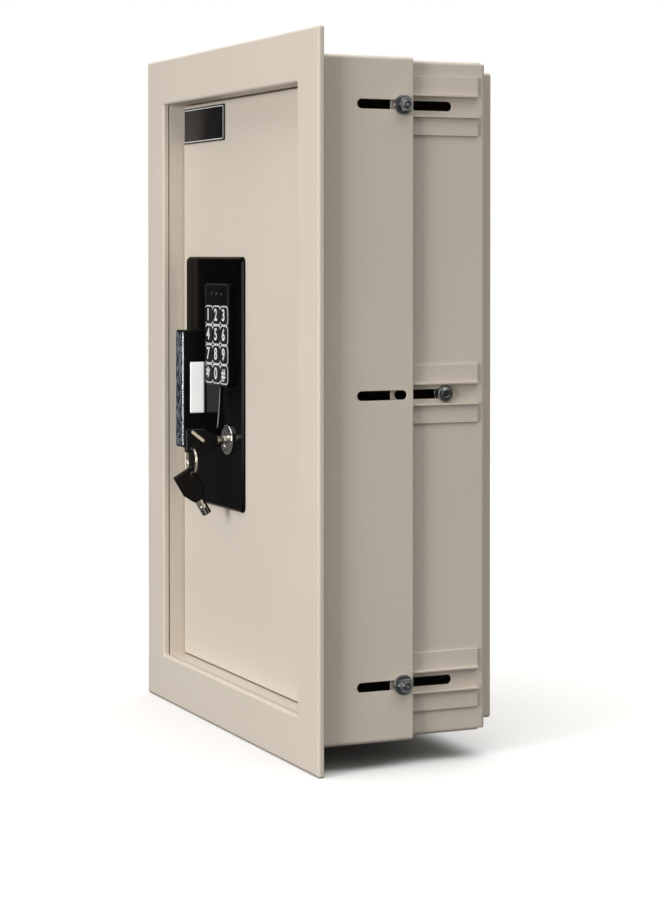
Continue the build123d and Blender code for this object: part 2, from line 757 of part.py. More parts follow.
def key_plane(hole_y, hole_z, angle, side):
    """Plane of a key's head, seen from the right, that puts its ring hole at a place.

    Local y runs along the barrel, at this angle above the horizontal.
    """
    along = Vector(0, cos(radians(angle)), sin(radians(angle)))
    across = Vector(0, along.Z, -along.Y)
    origin = Vector(lock_x, hole_y, hole_z)
    origin -= along * (ring_hole_back - head_straight) + across * (side * ring_hole_side)
    return Plane(origin=origin, x_dir=across, z_dir=(1, 0, 0))


def head_profile(plane, side):
    """Outline of a key's head with its ring hole on one side."""
    half_width = head_width / 2
    with BuildSketch(plane) as outline:
        with BuildLine():
            Polyline((-half_width, -head_straight), (half_width, -head_straight),
                     (half_width, 0), (head_neck / 2, head_taper),
                     (-head_neck / 2, head_taper), (-half_width, 0), close=True)
        make_face()
        fillet(outline.vertices(), radius=1.2)
        with Locations((side * ring_hole_side, ring_hole_back - head_straight)):
            Circle(ring_hole_diameter / 2, mode=Mode.SUBTRACT)
    return outline.sketch


def barrel_plane(plane):
    """Plane across a key's barrel, at the neck of its head."""
    neck = plane.from_local_coords((0, head_taper, 0))
    return Plane(origin=neck, x_dir=plane.z_dir, z_dir=plane.y_dir)


hole_y = head_start - head_taper - head_straight + ring_hole_back
hole_z = lock_z - ring_hole_side
ring_centre_z = hole_z - ring_mean_radius
spare_hole_z = hole_z - 2 * ring_mean_radius
inserted_plane = key_plane(hole_y, hole_z, 0, 1)
spare_plane = key_plane(hole_y, spare_hole_z, spare_tilt - 90, -1)

with BuildPart() as inserted_key_head:
    extrude(head_profile(inserted_plane, 1), amount=head_thickness / 2, both=True)
    chamfer([edge for face in inserted_key_head.faces().sort_by(SortBy.AREA)[-2:]
             for edge in face.outer_wire().edges()], length=head_chamfer)
inserted_key_head.part.label = "inserted_key_head"
export_step(inserted_key_head.part, "parts/inserted_key_head.step")

with BuildPart() as spare_key_head:
    extrude(head_profile(spare_plane, -1), amount=head_thickness / 2, both=True)
    chamfer([edge for face in spare_key_head.faces().sort_by(SortBy.AREA)[-2:]
             for edge in face.outer_wire().edges()], length=head_chamfer)
spare_key_head.part.label = "spare_key_head"
export_step(spare_key_head.part, "parts/spare_key_head.step")

spine_plane = inserted_plane.offset(head_thickness / 2)
with BuildPart() as inserted_key:
    extrude(disc_profile(barrel_plane(inserted_plane), barrel_diameter, [(0, 0)]),
            amount=barrel_length)
    chamfer(inserted_key.faces().sort_by(Axis.Y)[-1].edges(), length=0.5)
    # Steel spine let into the face of the head.
    with BuildSketch(spine_plane):
        with Locations(spine_place):
            SlotOverall(spine_length, spine_width, rotation=90 - spine_tilt)
    extrude(amount=spine_proud)
inserted_key.part.label = "inserted_key"
export_step(inserted_key.part, "parts/inserted_key.step")

with BuildPart() as spare_key:
    extrude(disc_profile(barrel_plane(spare_plane), barrel_diameter, [(0, 0)]),
            amount=barrel_length)
    chamfer(spare_key.faces().sort_by(Axis.Z)[0].edges(), length=0.5)
    extrude(disc_profile(barrel_plane(spare_plane).offset(barrel_length),
                         barrel_bore_diameter, [(0, 0)]),
            amount=-barrel_bore_depth, mode=Mode.SUBTRACT)
spare_key.part.label = "spare_key"
export_step(spare_key.part, "parts/spare_key.step")

with BuildPart() as key_ring:
    with Locations((lock_x, hole_y, ring_centre_z)):
        Torus(ring_mean_radius, ring_wire / 2, rotation=(90, 0, 0))
key_ring.part.label = "key_ring"
export_step(key_ring.part, "parts/key_ring.step")

# ================= Locking bolts and their drive =================
bolt_places = [(bolt_axis_y, z) for z in lock_bolts_z]
mirrored_places = [(bolt_axis_y, -z) for z in lock_bolts_z]
left_plane = side_plane(-1, -lock_bolt_tip)
stud_end_x = bar_x + bar_thickness + bolt_nut_height
with BuildPart() as locking_bolts:
    extrude(disc_profile(left_plane, lock_bolt_diameter, mirrored_places),
            amount=-lock_bolt_length)
    chamfer(locking_bolts.faces().group_by(Axis.X)[0].edges(), length=lock_bolt_chamfer)
    extrude(disc_profile(Plane.YZ.offset(bar_x), bolt_stud_diameter, bolt_places),
            amount=stud_end_x - bar_x)
locking_bolts.part.label = "locking_bolts"
export_step(locking_bolts.part, "parts/locking_bolts.step")

bar_height = lock_bolt_spacing + 2 * bar_end
with BuildPart() as bolt_bar:
    with BuildSketch(Plane.YZ.offset(bar_x)):
        with Locations((bolt_axis_y, 0)):
            RectangleRounded(lock_bolt_diameter, bar_height, 3.0)
        with Locations(*bolt_places):
            Circle(bolt_stud_diameter / 2, mode=Mode.SUBTRACT)
    extrude(amount=bar_thickness)
bolt_bar.part.label = "bolt_bar"
export_step(bolt_bar.part, "parts/bolt_bar.step")

nut_x = bar_x + bar_thickness
with BuildPart() as bolt_nuts:
    extrude(hexagon_profile(Plane.YZ.offset(nut_x), bolt_nut_flats, bolt_places),
            amount=bolt_nut_height)
    extrude(disc_profile(Plane.YZ.offset(nut_x), bolt_stud_diameter, bolt_places),
            amount=bolt_nut_height, mode=Mode.SUBTRACT)
bolt_nuts.part.label = "bolt_nuts"
export_step(bolt_nuts.part, "parts/bolt_nuts.step")

guide_depth = bolt_axis_y + lock_bolt_diameter / 2 + jamb_sheet - door_back
with BuildPart() as bolt_guides:
    for z in lock_bolts_z:
        with BuildSketch(facing_front(door_back)):
            with Locations((guide_front_x + guide_length / 2, z)):
                RectangleRounded(guide_length, guide_width, 2.0)
        extrude(amount=-guide_depth)
    bores = disc_profile(Plane.YZ.offset(guide_front_x),
                         lock_bolt_diameter + 2 * running_clearance, bolt_places)
    extrude(bores, amount=guide_length, mode=Mode.SUBTRACT)
bolt_guides.part.label = "bolt_guides"
export_step(bolt_guides.part, "parts/bolt_guides.step")

circular_pitch = pi * gear_module
rack_tooth_count = int((rack_length - 4) / circular_pitch)
half_tooth = tooth_share * circular_pitch / 2
slope = tan(radians(pressure_angle))
with BuildPart() as drive_rack:
    with BuildSketch(facing_front(gear_front)):
        with Locations((nut_x + rack_length / 2,
                        rack_pitch_z - dedendum - rack_height / 2)):
            Rectangle(rack_length, rack_height)
        # The gaps line up with the pinion, whose lowest tooth points straight down.
        first = int((nut_x + 3 - pinion_x) / circular_pitch)
        for step in range(first, first + rack_tooth_count):
            centre = pinion_x + (step + 0.5) * circular_pitch
            with BuildLine():
                Polyline((centre - half_tooth - dedendum * slope, rack_pitch_z - dedendum),
                         (centre + half_tooth + dedendum * slope, rack_pitch_z - dedendum),
                         (centre + half_tooth - addendum * slope, rack_pitch_z + addendum),
                         (centre - half_tooth + addendum * slope, rack_pitch_z + addendum),
                         close=True)
            make_face()
    extrude(amount=-gear_width)
drive_rack.part.label = "drive_rack"
export_step(drive_rack.part, "parts/drive_rack.step")

base_radius = pitch_radius * cos(radians(pressure_angle))
tip_radius = pitch_radius + addendum
root_radius = pitch_radius - dedendum


def roll_angle(radius):
    """Angle by which an involute has turned at a radius."""
    return sqrt((radius / base_radius) ** 2 - 1) - acos(base_radius / radius)


def flank_point(radius, side):
    """Point on one flank of the tooth that points straight down."""
    half_angle = tooth_share * pi / pinion_teeth + roll_angle(pitch_radius)
    angle = -pi / 2 + side * (half_angle - roll_angle(radius))
    return (radius * cos(angle), radius * sin(angle))


def root_point(side):
    """Foot of one flank, straight below the start of its involute."""
    x, z = flank_point(base_radius, side)
    shrink = (root_radius - 0.2) / base_radius
    return (x * shrink, z * shrink)


flank_radii = [base_radius + (tip_radius - base_radius) * step / 4 for step in range(5)]
with BuildSketch() as pinion_tooth:
    with BuildLine():
        Polyline(root_point(1), *[flank_point(radius, 1) for radius in flank_radii],
                 *[flank_point(radius, -1) for radius in reversed(flank_radii)],
                 root_point(-1), close=True)
    make_face()

with BuildPart() as drive_pinion:
    with BuildSketch(Plane(origin=(pinion_x, gear_front, pinion_z), x_dir=(1, 0, 0),
                           z_dir=(0, -1, 0))):
        Circle(root_radius)
        with PolarLocations(0, pinion_teeth):
            add(pinion_tooth.sketch)
    extrude(amount=-gear_width)
    shaft = disc_profile(facing_front(gear_front - 1), pinion_shaft_diameter,
                         [(pinion_x, pinion_z)])
    extrude(shaft, amount=gear_front - 1 - gearbox_front - shaft_engagement)
drive_pinion.part.label = "drive_pinion"
export_step(drive_pinion.part, "parts/drive_pinion.step")

gearbox_z = pinion_z + gearbox_height / 2 - gearbox_width / 2
motor_y = gearbox_front + gearbox_thickness - motor_diameter / 2
with BuildPart() as gear_motor:
    extrude(rounded_profile(gearbox_front, gearbox_width, gearbox_height, 2.0,
                            (pinion_x, gearbox_z)), amount=-gearbox_thickness)
    motor_base = gearbox_z + gearbox_height / 2
    extrude(disc_profile(Plane.XY.offset(motor_base - 1), motor_diameter,
                         [(pinion_x, motor_y)]), amount=motor_length)
    extrude(disc_profile(facing_front(gearbox_front),
                         pinion_shaft_diameter + 2 * running_clearance,
                         [(pinion_x, pinion_z)]),
            amount=-shaft_engagement - slip_gap, mode=Mode.SUBTRACT)
gear_motor.part.label = "gear_motor"
export_step(gear_motor.part, "parts/gear_motor.step")

# ================= Electronics behind the door =================
motor_posts = [(pinion_x + step * motor_post_spacing / 2,
                gearbox_z + gearbox_height / 2 - post_diameter / 2 - 1.5)
               for step in (-1, 1)]
board_posts = [(circuit_x + x * post_spacing / 2, circuit_z + z * (circuit_height / 2 - 4))
               for x in (-1, 1) for z in (-1, 1)]
with BuildPart() as mounting_posts:
    extrude(disc_profile(facing_front(door_back), post_diameter, motor_posts),
            amount=door_back - gearbox_front)
    extrude(disc_profile(facing_front(door_back), post_diameter, board_posts),
            amount=door_back - circuit_front)
mounting_posts.part.label = "mounting_posts"
export_step(mounting_posts.part, "parts/mounting_posts.step")

circuit_back = circuit_front + circuit_thickness
with BuildPart() as circuit_board:
    extrude(rounded_profile(circuit_front, circuit_width, circuit_height, 2.0,
                            (circuit_x, circuit_z)), amount=-circuit_thickness)
    for (width, height, depth), (x, z) in zip(chip_sizes, chip_places):
        extrude(rounded_profile(circuit_back, width, height, 0.5,
                                (circuit_x + x, circuit_z + z)), amount=-depth)
circuit_board.part.label = "circuit_board"
export_step(circuit_board.part, "parts/circuit_board.step")

ribbon_x = keypad_x
with BuildPart() as keypad_ribbon:
    with BuildSketch(Plane.YZ.offset(ribbon_x - ribbon_width / 2)):
        with BuildLine():
            lead = Polyline((panel_front, keypad_z), (ribbon_depth, keypad_z),
                            (ribbon_depth, ribbon_end_z), (circuit_front, ribbon_end_z))
        trace(lines=lead, line_width=ribbon_thickness)
    extrude(amount=ribbon_width)
keypad_ribbon.part.label = "keypad_ribbon"
export_step(keypad_ribbon.part, "parts/keypad_ribbon.step")

battery_xs = [battery_x + (step - (battery_count - 1) / 2) * battery_pitch
              for step in range(battery_count)]
battery_spots = [(x, battery_depth) for x in battery_xs]
with BuildPart() as batteries:
    extrude(disc_profile(Plane.XY.offset(battery_z - battery_length / 2), battery_diameter,
                         battery_spots), amount=battery_length)
    fillet(batteries.edges().filter_by(GeomType.CIRCLE), radius=0.8)
    extrude(disc_profile(Plane.XY.offset(battery_z + battery_length / 2),
                         battery_nub_diameter, battery_spots), amount=battery_nub)
batteries.part.label = "batteries"
export_step(batteries.part, "parts/batteries.step")

holder_back = battery_depth
holder_width = battery_count * battery_pitch + 2 * holder_wall
holder_height = battery_length + 2 * battery_nub + 2 * holder_wall + 1
holder_floor = battery_depth - battery_diameter / 2 - slip_gap
with BuildPart() as battery_holder:
    extrude(rounded_profile(holder_front, holder_width, holder_height, 2.0,
                            (battery_x, battery_z)), amount=holder_front - holder_back)
    extrude(rounded_profile(holder_floor, holder_width - 2 * holder_wall,
                            holder_height - 2 * holder_wall, 0.5,
                            (battery_x, battery_z)),
            amount=holder_floor - holder_back, mode=Mode.SUBTRACT)
    extrude(rounded_profile(door_back, holder_width / 2, holder_height / 2, 1.0,
                            (battery_x, battery_z)), amount=door_back - holder_front)
battery_holder.part.label = "battery_holder"
export_step(battery_holder.part, "parts/battery_holder.step")

cover_width = cover_right - cover_left
cover_x = (cover_right + cover_left) / 2
cover_height = 2 * cover_half_height
hatch_width = holder_width - 2 * holder_wall
hatch_height = holder_height - 2 * holder_wall
cover_screw_places = [(cover_x + x * (cover_width / 2 - 14),
                       z * (cover_half_height + cover_lip / 2))
                      for x in (-1, 1) for z in (-1, 1)]
with BuildPart() as inner_cover:
    extrude(rounded_profile(door_back, cover_width, cover_height, 3.0, (cover_x, 0)),
            amount=door_back - cover_back)
    fillet(inner_cover.faces().sort_by(Axis.Y)[-1].edges(), radius=2.0)
    extrude(rounded_profile(door_back, cover_width, cover_height + 2 * cover_lip, 3.0,
                            (cover_x, 0)), amount=-cover_sheet)
    extrude(rounded_profile(door_back, cover_width - 2 * cover_sheet,
                            cover_height - 2 * cover_sheet, 1.8, (cover_x, 0)),
            amount=door_back - cover_back + cover_sheet, mode=Mode.SUBTRACT)
    # Ways out for the locking bolts, and the battery hatch.
    with BuildSketch(Plane.YZ.offset(cover_left)):
        with Locations(*bolt_places):
            Circle(lock_bolt_diameter / 2 + 1)
    extrude(amount=2 * cover_sheet, mode=Mode.SUBTRACT)
    extrude(rounded_profile(cover_back, hatch_width, hatch_height, 2.0,
                            (battery_x, battery_z)), amount=2 * cover_sheet,
            mode=Mode.SUBTRACT)
    extrude(disc_profile(facing_front(door_back), screw_diameter, cover_screw_places),
            amount=-cover_sheet, mode=Mode.SUBTRACT)
inner_cover.part.label = "inner_cover"
export_step(inner_cover.part, "parts/inner_cover.step")

cover_lip_back = door_back + cover_sheet
with BuildPart() as cover_screws:
    extrude(disc_profile(facing_front(door_back), screw_diameter, cover_screw_places),
            amount=-cover_sheet)
    extrude(disc_profile(facing_front(cover_lip_back), screw_head_diameter,
                         cover_screw_places), amount=-screw_head_height)
    fillet(cover_screws.faces().group_by(Axis.Y)[-1].edges(), radius=screw_head_height * 0.6)
cover_screws.part.label = "cover_screws"
export_step(cover_screws.part, "parts/cover_screws.step")

with BuildPart() as battery_door:
    extrude(rounded_profile(cover_back + slip_gap, hatch_width + 2 * battery_door_lap,
                            hatch_height + 2 * battery_door_lap, 3.0,
                            (battery_x, battery_z)), amount=-battery_door_thickness)
    with BuildSketch(facing_front(cover_back + slip_gap + battery_door_thickness)):
        with GridLocations(0, 3.0, 1, 4):
            with Locations((battery_x, battery_z + hatch_height / 3)):
                SlotOverall(24.0, 1.2)
    extrude(amount=-0.5)
battery_door.part.label = "battery_door"
export_step(battery_door.part, "parts/battery_door.step")
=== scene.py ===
import math
import bmesh
import bpy
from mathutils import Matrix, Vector


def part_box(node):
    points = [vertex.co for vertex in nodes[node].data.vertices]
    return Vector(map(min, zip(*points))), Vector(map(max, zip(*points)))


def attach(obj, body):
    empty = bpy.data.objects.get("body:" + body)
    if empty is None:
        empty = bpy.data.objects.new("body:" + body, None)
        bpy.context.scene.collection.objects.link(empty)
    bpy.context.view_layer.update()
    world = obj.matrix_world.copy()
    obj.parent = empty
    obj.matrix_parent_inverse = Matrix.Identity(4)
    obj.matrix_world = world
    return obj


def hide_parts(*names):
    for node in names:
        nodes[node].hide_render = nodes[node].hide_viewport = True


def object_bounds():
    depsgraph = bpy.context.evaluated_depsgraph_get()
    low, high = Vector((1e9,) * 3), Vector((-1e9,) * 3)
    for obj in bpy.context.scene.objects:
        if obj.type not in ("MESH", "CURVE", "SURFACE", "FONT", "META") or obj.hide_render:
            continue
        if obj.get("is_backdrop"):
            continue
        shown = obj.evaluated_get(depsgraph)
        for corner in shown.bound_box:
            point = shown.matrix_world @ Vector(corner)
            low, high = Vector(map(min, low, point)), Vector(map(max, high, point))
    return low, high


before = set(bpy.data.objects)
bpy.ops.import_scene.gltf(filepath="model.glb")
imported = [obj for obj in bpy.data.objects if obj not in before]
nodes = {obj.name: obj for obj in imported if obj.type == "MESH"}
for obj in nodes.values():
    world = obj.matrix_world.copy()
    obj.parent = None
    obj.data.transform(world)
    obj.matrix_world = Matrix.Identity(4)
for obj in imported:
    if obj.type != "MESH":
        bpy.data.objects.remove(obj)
cad_low, cad_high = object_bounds()
collection = bpy.context.scene.collection
FLOOR_Z = cad_low.z - 0.0004


# ---------------- Materials ----------------
class Finish:
    """A procedural material: one principled shader with its texture nodes."""

    def __init__(self, name, metallic=0.0, roughness=0.5):
        self.material = bpy.data.materials.new(name)
        self.material.use_nodes = True
        self.nodes = self.material.node_tree.nodes
        self.links = self.material.node_tree.links
        self.shader = self.nodes["Principled BSDF"]
        self.shader.inputs["Metallic"].default_value = metallic
        self.shader.inputs["Roughness"].default_value = roughness
        self.place = self.nodes.new("ShaderNodeTexCoord").outputs["Object"]

    def add(self, kind, **values):
        node = self.nodes.new(kind)
        for key, value in values.items():
            node.inputs[key.replace("_", " ")].default_value = value
        return node

    def stretched(self, scale):
        mapping = self.add("ShaderNodeMapping", Scale=scale)
        self.links.new(self.place, mapping.inputs["Vector"])
        return mapping.outputs["Vector"]

    def noise(self, scale, detail=3.0, place=None):
        node = self.add("ShaderNodeTexNoise", Scale=scale, Detail=detail)
        self.links.new(place or self.place, node.inputs["Vector"])
        return node.outputs["Fac"]

    def ramp(self, factor, stops):
        node = self.nodes.new("ShaderNodeValToRGB")
        ramp = node.color_ramp
        while len(ramp.elements) < len(stops):
            ramp.elements.new(0.5)
        for element, (position, colour) in zip(ramp.elements, stops):
            element.position = position
            element.color = (*colour, 1.0)
        self.links.new(factor, node.inputs["Fac"])
        return node.outputs["Color"]

    def colour(self, factor, stops):
        self.links.new(self.ramp(factor, stops), self.shader.inputs["Base Color"])

    def rough(self, factor, low, high):
        node = self.add("ShaderNodeMapRange", To_Min=low, To_Max=high)
        self.links.new(factor, node.inputs["Value"])
        self.links.new(node.outputs["Result"], self.shader.inputs["Roughness"])

    def bump(self, heights, edge=0.0):
        """Bumps laid one over the other; edge rounds the look of sharp edges."""
        normal = None
        if edge:
            bevel = self.nodes.new("ShaderNodeBevel")
            bevel.samples = 4
            bevel.inputs["Radius"].default_value = edge
            normal = bevel.outputs["Normal"]
        for height, strength, distance in heights:
            node = self.add("ShaderNodeBump", Strength=strength, Distance=distance)
            self.links.new(height, node.inputs["Height"])
            if normal:
                self.links.new(normal, node.inputs["Normal"])
            normal = node.outputs["Normal"]
        self.links.new(normal, self.shader.inputs["Normal"])


SOFT_EDGE = 0.0003          # look of the small rounding on metal and plastic edges
PAINTED_EDGE = 0.0009       # the same under paint


def powder_coat(name, light, dark):
    f = Finish(name, roughness=0.52)
    grain = f.noise(1150.0, 2.0)
    pebble = f.noise(430.0, 2.0)
    cloud = f.noise(7.0, 4.0)
    f.colour(cloud, [(0.3, dark), (0.7, light)])
    f.rough(pebble, 0.46, 0.62)
    f.bump([(pebble, 0.30, 0.00030), (grain, 0.35, 0.00016)], PAINTED_EDGE)
    f.shader.inputs["Specular IOR Level"].default_value = 0.35
    return f.material


def zinc(name, light, dark, low, high):
    f = Finish(name, metallic=1.0)
    spangle = f.noise(260.0, 3.0)
    scuff = f.noise(1800.0, 2.0, f.stretched((1.0, 1.0, 0.2)))
    f.colour(spangle, [(0.3, dark), (0.7, light)])
    f.rough(spangle, low, high)
    f.bump([(scuff, 0.18, 0.00005)], SOFT_EDGE)
    return f.material


def bright(name, light, dark, rough_low, rough_high, stretch):
    f = Finish(name, metallic=1.0)
    brush = f.noise(900.0, 3.0, f.stretched(stretch))
    f.colour(brush, [(0.25, dark), (0.75, light)])
    f.rough(brush, rough_low, rough_high)
    f.bump([(brush, 0.10, 0.00004)], SOFT_EDGE)
    return f.material


def moulded(name, light, dark, rough_low, rough_high, grain=900.0, depth=0.00006,
            level=0.4):
    f = Finish(name)
    tone = f.noise(60.0, 3.0)
    texture = f.noise(grain, 2.0)
    f.colour(tone, [(0.35, dark), (0.65, light)])
    f.rough(tone, rough_low, rough_high)
    f.bump([(texture, 0.2, depth)], SOFT_EDGE)
    f.shader.inputs["Specular IOR Level"].default_value = level
    return f.material


def mottled_film():
    """Rough grey film on the front of the handle, worn in streaks along it."""
    f = Finish("mottled_film", roughness=0.45)
    streak = f.noise(520.0, 6.0, f.stretched((1.0, 1.0, 0.45)))
    f.shader.inputs["Specular IOR Level"].default_value = 0.12
    speck = f.noise(900.0, 3.0)
    f.colour(streak, [(0.42, (0.006, 0.007, 0.009)), (0.50, (0.050, 0.062, 0.070)),
                      (0.60, (0.19, 0.225, 0.245))])
    f.rough(speck, 0.35, 0.6)
    f.bump([(streak, 0.5, 0.00035), (speck, 0.35, 0.0001)], 0.0004)
    return f.material


def laminate(name, base, trace):
    f = Finish(name, roughness=0.45)
    lines = f.add("ShaderNodeTexWave", Scale=130.0, Distortion=6.0)
    f.links.new(f.place, lines.inputs["Vector"])
    f.colour(lines.outputs["Fac"], [(0.62, base), (0.7, trace)])
    weave = f.noise(1500.0, 2.0)
    f.bump([(lines.outputs["Fac"], 0.15, 0.00005), (weave, 0.1, 0.00003)])
    return f.material


def ribbed(name, light, dark):
    """Flat cable: parallel cores side by side."""
    f = Finish(name, roughness=0.4)
    wave = f.add("ShaderNodeTexWave", Scale=260.0)
    wave.bands_direction = "X"
    f.links.new(f.place, wave.inputs["Vector"])
    f.colour(wave.outputs["Fac"], [(0.1, dark), (0.5, light)])
    f.bump([(wave.outputs["Fac"], 0.5, 0.0002)])
    return f.material


PAINT = powder_coat("powder_coat_beige", (0.665, 0.600, 0.520), (0.635, 0.570, 0.492))
ZINC = zinc("zinc_plate", (0.72, 0.73, 0.72), (0.30, 0.32, 0.34), 0.12, 0.30)
# Darker zinc: painted shade in the stud threads' grooves, in the nut serrations and on the
# parked bolts recessed in the channel.
SHADED_ZINC = zinc("zinc_painted_shade", (0.22, 0.23, 0.23), (0.08, 0.085, 0.09), 0.2, 0.4)
# Dark metal: painted shade in the hollow centres of the stud ends and parked bolts.
HOLLOW_SHADE_METAL = zinc("metal_painted_hollow_shade", (0.10, 0.11, 0.125), (0.04, 0.045, 0.055), 0.2, 0.35)
STEEL = bright("ground_steel", (0.74, 0.73, 0.71), (0.58, 0.58, 0.57), 0.16, 0.30,
               (0.12, 1.0, 1.0))
KEY_STEEL = bright("key_steel", (0.86, 0.82, 0.74), (0.62, 0.58, 0.50), 0.12, 0.26,
                   (1.0, 0.3, 1.0))
BRASS = bright("machined_brass", (0.78, 0.60, 0.30), (0.60, 0.44, 0.20), 0.2, 0.35,
               (1.0, 0.2, 1.0))
CHROME = bright("chrome", (0.62, 0.61, 0.59), (0.46, 0.45, 0.44), 0.05, 0.12,
                (1.0, 0.4, 1.0))
GLOSS = moulded("gloss_black", (0.0034, 0.0031, 0.0030), (0.0022, 0.0021, 0.0020),
                0.10, 0.16, 260.0, 0.00003, 0.025)
BADGE = moulded("badge_black", (0.010, 0.010, 0.011), (0.006, 0.006, 0.006), 0.2, 0.3)
SATIN = moulded("satin_black", (0.0050, 0.0050, 0.0055), (0.0032, 0.0032, 0.0034),
                0.28, 0.42, level=0.12)
RUBBER = moulded("key_rubber", (0.010, 0.010, 0.011), (0.006, 0.006, 0.006),
                 0.45, 0.6, 1400.0)
HEAD = moulded("key_head_black", (0.0050, 0.0042, 0.0040), (0.0030, 0.0027, 0.0026),
               0.22, 0.38, level=0.12)
PRINT = moulded("white_print", (0.80, 0.82, 0.82), (0.70, 0.72, 0.73), 0.4, 0.55)
# Grey of the line along the keypad housing's edge: a painted highlight.
EDGE_HIGHLIGHT_GREY = moulded("housing_edge_highlight", (0.11, 0.11, 0.115), (0.07, 0.07, 0.075), 0.4, 0.55)
# Grey of the strip on the ridge below the keypad: a painted highlight.
RIDGE_HIGHLIGHT = moulded("ridge_painted_highlight", (0.30, 0.29, 0.28), (0.12, 0.118, 0.115), 0.25, 0.4)
LENS = moulded("smoked_lens", (0.020, 0.018, 0.018), (0.012, 0.011, 0.011), 0.06, 0.12)
PAPER = moulded("label_paper", (0.93, 0.93, 0.92), (0.88, 0.88, 0.87),
                0.5, 0.65, 700.0, 0.0001)
# Painted light: the white label paper glows slightly so that it reads brighter.
paper_shader = PAPER.node_tree.nodes["Principled BSDF"]
paper_shader.inputs["Emission Color"].default_value = (1.0, 1.0, 1.0, 1.0)
paper_shader.inputs["Emission Strength"].default_value = 0.32
FILM = mottled_film()
CELL = moulded("cell_sleeve", (0.020, 0.021, 0.024), (0.012, 0.012, 0.014), 0.2, 0.3)
MOTOR = bright("motor_can", (0.60, 0.60, 0.61), (0.44, 0.44, 0.46), 0.25, 0.4,
               (1.0, 1.0, 0.1))
BOARD = laminate("green_laminate", (0.010, 0.090, 0.032), (0.030, 0.170, 0.070))
CABLE = ribbed("flat_cable", (0.62, 0.60, 0.54), (0.36, 0.35, 0.32))

FINISHES = {
    PAINT: ["front_flange", "front_sleeve", "door_jamb", "rear_sleeve", "guide_rails",
            "back_panel", "door_panel", "lower_shelf", "upper_shelf", "shelf_brackets",
            "inner_cover"],
    ZINC: ["clamp_bolts", "clamp_nuts", "parked_bolts", "parked_nuts", "bolt_bar",
           "bolt_nuts", "drive_rack", "bolt_guides", "cover_screws", "mounting_posts",
           "cylinder_nut", "lock_cam"],
    STEEL: ["locking_bolts", "hinge_pins", "drive_pinion"],
    KEY_STEEL: ["inserted_key", "spare_key"],
    BRASS: ["hinge_washers"],
    CHROME: ["lock_cylinder", "lock_plug"],
    GLOSS: ["lock_panel"],
    BADGE: ["badge_plate"],
    SATIN: ["keypad_housing", "pull_handle", "battery_holder", "battery_door"],
    HEAD: ["inserted_key_head", "spare_key_head"],
    RUBBER: ["key_1", "key_2", "key_3", "key_4", "key_5", "key_6", "key_7", "key_8",
             "key_9", "key_star", "key_0", "key_hash"],
    FILM: ["handle_insert"],
    LENS: ["status_leds"],
    BOARD: ["keypad_board", "circuit_board"],
    CABLE: ["keypad_ribbon"],
    CELL: ["batteries"],
    MOTOR: ["gear_motor"],
}
for finish, names in FINISHES.items():
    for name in names:
        mesh = nodes[name].data
        mesh.materials.clear()
        mesh.materials.append(finish)


# ---------------- Helpers for pieces ----------------
LINE_GAP = 0.00002         # printed lines and the painted edge highlight stand this far off the face below them
MITRE_LIMIT = 0.35          # keeps the corners of a printed line from growing long
OUT_OF_DOOR = Vector((0, -1, 0))
ACROSS = Vector((1, 0, 0))


def piece_from(bm, name, material, body, smooth=True):
    mesh = bpy.data.meshes.new(name)
    bmesh.ops.recalc_face_normals(bm, faces=bm.faces)
    bm.to_mesh(mesh)
    bm.free()
    for polygon in mesh.polygons:
        polygon.use_smooth = smooth
    piece = bpy.data.objects.new(name, mesh)
    collection.objects.link(piece)
    mesh.materials.append(material)
    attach(piece, body)
    return piece


def sweep(bm, path, profile, closed=False, caps=True):
    """Joins copies of a profile along a path of (point, side, up) frames."""
    rings = []
    for point, side, up in path:
        rings.append([bm.verts.new(point + side * a + up * b) for a, b in profile])
    count = len(profile)
    pairs = list(zip(rings, rings[1:] + rings[:1])) if closed else list(zip(rings, rings[1:]))
    for first, second in pairs:
        for i in range(count):
            j = (i + 1) % count
            bm.faces.new((first[i], first[j], second[j], second[i]))
    if caps and not closed:
        bm.faces.new(rings[0])
        bm.faces.new(rings[-1])


def oval(width, height, sides=10):
    return [(math.cos(t) * width / 2, math.sin(t) * height / 2)
            for t in (2 * math.pi * i / sides for i in range(sides))]


def bar_section(width, height, edge):
    """Rectangle with small chamfered corners."""
    w, h = width / 2, height / 2
    return [(w, h - edge), (w - edge, h), (edge - w, h), (-w, h - edge),
            (-w, edge - h), (edge - w, -h), (w - edge, -h), (w, edge - h)]


def outline_strip(name, points, depth, line, thickness, material, body):
    """A thin line that follows closed points across the safe, at one depth: print, and the
    painted highlight on the keypad housing's edge.
    """
    bm = bmesh.new()
    path = []
    count = len(points)
    for i, point in enumerate(points):
        before = Vector(points[i - 1]) - Vector(point)
        after = Vector(points[(i + 1) % count]) - Vector(point)
        along = after.normalized() - before.normalized()
        side = Vector((along.y, -along.x)).normalized()
        turn = max(MITRE_LIMIT, abs(side.dot(Vector((after.y, -after.x)).normalized())))
        side /= turn
        path.append((Vector((point[0], depth, point[1])), Vector((side.x, 0, side.y)),
                     OUT_OF_DOOR))
    sweep(bm, path, bar_section(line, thickness, thickness * 0.3), closed=True)
    return piece_from(bm, name, material, body, smooth=False)


def corner(centre, radius, start, end, steps=6):
    return [(centre[0] + radius * math.cos(math.radians(start + (end - start) * i / steps)),
             centre[1] + radius * math.sin(math.radians(start + (end - start) * i / steps)))
            for i in range(steps + 1)]


def round_box(centre, width, height, radius):
    x, z = centre
    w, h = width / 2 - radius, height / 2 - radius
    return (corner((x + w, z + h), radius, 0, 90) + corner((x - w, z + h), radius, 90, 180)
            + corner((x - w, z - h), radius, 180, 270)
            + corner((x + w, z - h), radius, 270, 360))
